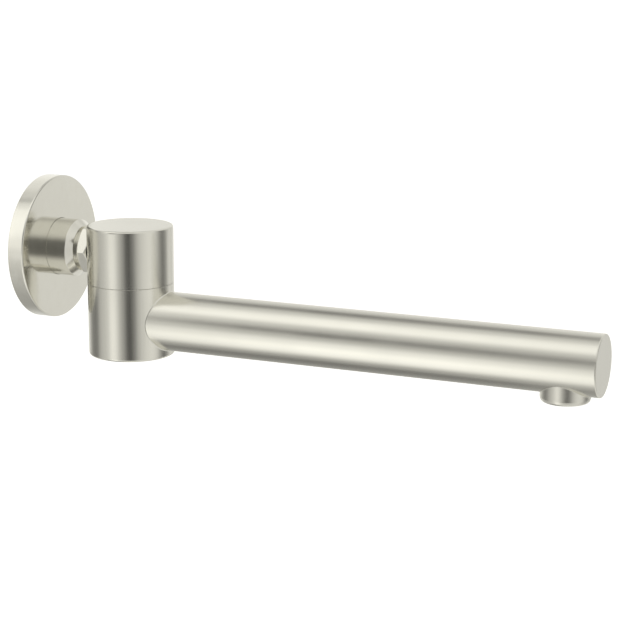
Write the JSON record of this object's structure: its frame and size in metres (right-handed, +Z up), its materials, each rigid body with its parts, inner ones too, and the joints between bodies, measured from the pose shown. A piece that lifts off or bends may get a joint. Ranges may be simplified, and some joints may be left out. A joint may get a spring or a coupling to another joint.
{
  "type": "wall mounted bath spout",
  "caption": "Wall mounted bath filler spout: round flange, hexagon neck, drum body in two halves, and a straight round spout that swivels on a hollow stem.",
  "frame": {"origin": "on the inlet's axis, in the plane of the wall, which is the inlet thread's mouth", "axes": "+X out of the wall along the neck and, at rest, along the spout; +Z up along the swivel axis"},
  "size_m": [0.2425, 0.06, 0.073],
  "materials": {
    "brushed_nickel": "warm brushed nickel plate on brass",
    "bare_brass": "turned brass",
    "stainless": "stainless steel",
    "black_rubber": "matt moulded rubber",
    "red_fibre": "pressed vulcanised fibre",
    "foam": "closed-cell foam",
    "white_acetal": "turned acetal",
    "grey_acetal": "moulded acetal"
  },
  "bodies": {
    "wall_side": {"inlet_neck": "brushed_nickel", "inlet_washer": "black_rubber", "inlet_strainer": "stainless", "neck_seal": "red_fibre", "hex_nipple": "brushed_nickel", "port_o_ring": "black_rubber", "upper_body": "brushed_nickel", "stem_seal": "red_fibre", "pivot_stem": "bare_brass", "stop_pin": "stainless", "upper_o_ring": "black_rubber", "lower_o_ring": "black_rubber", "thrust_washer": "stainless", "retaining_ring": "stainless"},
    "flange": {"wall_flange": "brushed_nickel", "wall_gasket": "foam", "flange_o_ring": "black_rubber"},
    "spout": {"lower_body": "brushed_nickel", "upper_bush": "white_acetal", "lower_bush": "white_acetal", "bottom_cap": "brushed_nickel", "spout_tube": "brushed_nickel", "end_cap": "brushed_nickel", "outlet_ring": "brushed_nickel", "aerator_seal": "black_rubber", "aerator_screen": "stainless", "aerator_jet_plate": "white_acetal", "aerator_housing": "grey_acetal", "aerator_honeycomb": "grey_acetal"}
  },
  "joints": [
    {"name": "spout_swivel", "type": "hinge", "parent": "wall_side", "child": "spout", "pos_m": [0.0405, 0, -0.0278], "axis": [0, 0, 1], "range_deg": [-90, 90]},
    {"name": "flange_slide", "type": "slide", "parent": "wall_side", "child": "flange", "axis": [1, 0, 0], "range_m": [0, 0.008]}
  ]
}
